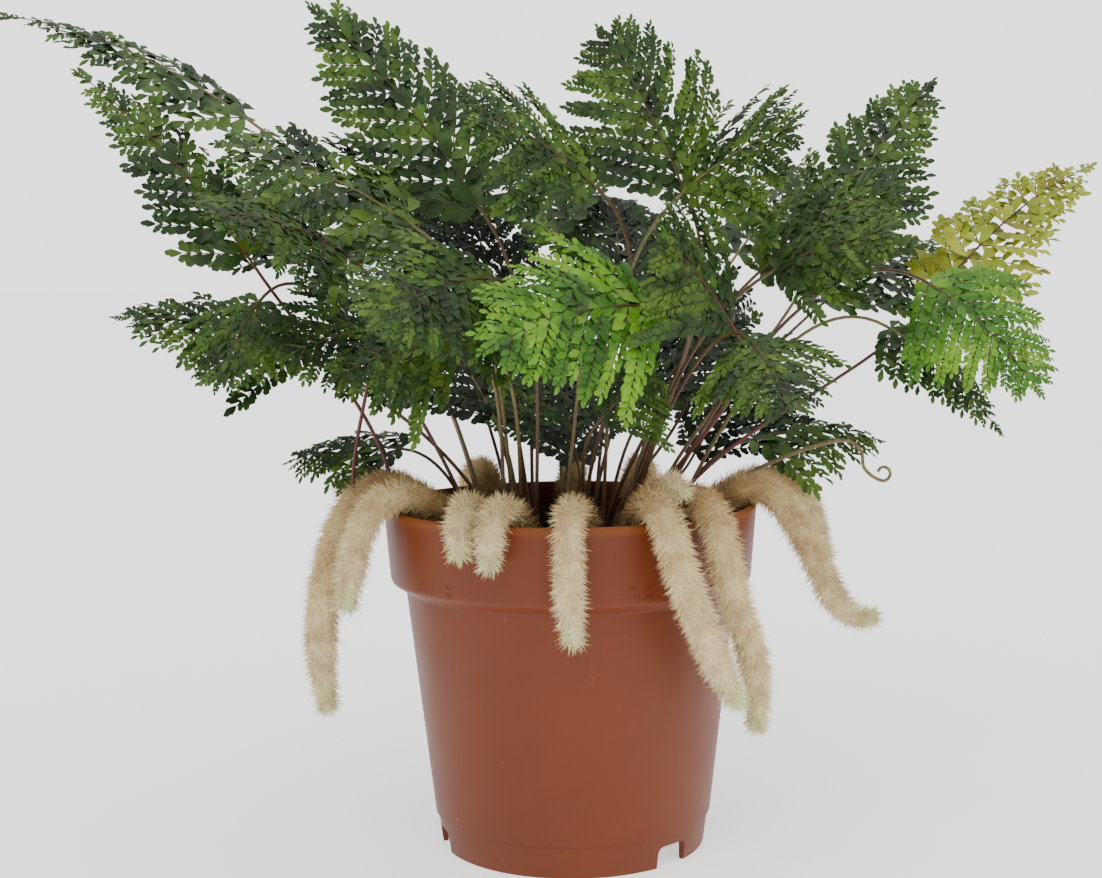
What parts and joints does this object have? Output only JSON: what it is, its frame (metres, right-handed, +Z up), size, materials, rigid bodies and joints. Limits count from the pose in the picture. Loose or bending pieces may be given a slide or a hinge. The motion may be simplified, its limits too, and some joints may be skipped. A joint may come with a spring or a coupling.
{
  "type": "bear's foot fern in a plastic nursery pot",
  "caption": "Potted bear's foot fern: arching, finely cut fronds on wiry stems and furry creeping stems that hang over the rim of a plain round nursery pot.",
  "frame": {"origin": "middle of the whole plant's footprint, on the surface that the pot stands on", "axes": "+Z up; -Y towards the side from which the plant was pictured; +X to the right as seen from there, along the plant's widest spread"},
  "size_m": [0.414, 0.28, 0.3155],
  "materials": {
    "pot": "smooth satin terracotta-coloured polypropylene",
    "potting_mix": "dark, rough, peaty",
    "rhizome_fur": "matt, cream to tan hairs",
    "frond": "satin, leathery green leaflets on brown stems",
    "bright_frond": "satin, fresh green leaflets",
    "young_frond": "satin, yellow-green young leaflets",
    "crozier": "matt olive-brown stalk"
  },
  "bodies": {
    "root": {"crozier": "crozier", "frond_back_low": "frond", "frond_back_low_left": "frond", "frond_back_mid": "frond", "frond_bright_droop": "bright_frond", "frond_core_left": "frond", "frond_core_left_up": "frond", "frond_core_mid": "frond", "frond_core_right": "frond", "frond_dark_droop": "frond", "frond_far_left": "frond", "frond_far_left_back": "frond", "frond_front_bright": "bright_frond", "frond_front_left": "frond", "frond_front_low": "frond", "frond_front_mid": "frond", "frond_front_right_small": "frond", "frond_inner_back": "frond", "frond_inner_back_right": "frond", "frond_inner_front": "frond", "frond_inner_left": "frond", "frond_inner_right": "frond", "frond_left_back": "frond", "frond_left_hanging": "frond", "frond_left_high": "frond", "frond_left_low": "frond", "frond_left_mid": "frond", "frond_left_red": "frond", "frond_left_shoulder": "frond", "frond_low_left": "frond", "frond_low_left_bright": "frond", "frond_low_right": "frond", "frond_mid_back_up": "frond", "frond_mid_drop": "frond", "frond_mid_upper_left": "frond", "frond_mid_upper_right": "frond", "frond_right_back": "frond", "frond_right_back_low": "frond", "frond_right_front": "frond", "frond_right_mid": "frond", "frond_right_top": "frond", "frond_tall_left": "frond", "frond_tall_mid": "frond", "frond_young_right": "young_frond", "pot": "pot", "rhizome_back": "rhizome_fur", "rhizome_back_left": "rhizome_fur", "rhizome_back_right": "rhizome_fur", "rhizome_front": "rhizome_fur", "rhizome_front_right": "rhizome_fur", "rhizome_left_back": "rhizome_fur", "rhizome_left_inner": "rhizome_fur", "rhizome_left_outer": "rhizome_fur", "rhizome_long_right": "rhizome_fur", "rhizome_right": "rhizome_fur", "rhizome_right_back": "rhizome_fur", "rhizome_stub_left": "rhizome_fur", "rhizome_stub_mid": "rhizome_fur", "rhizome_stub_right": "rhizome_fur", "soil": "potting_mix"}
  },
  "joints": []
}
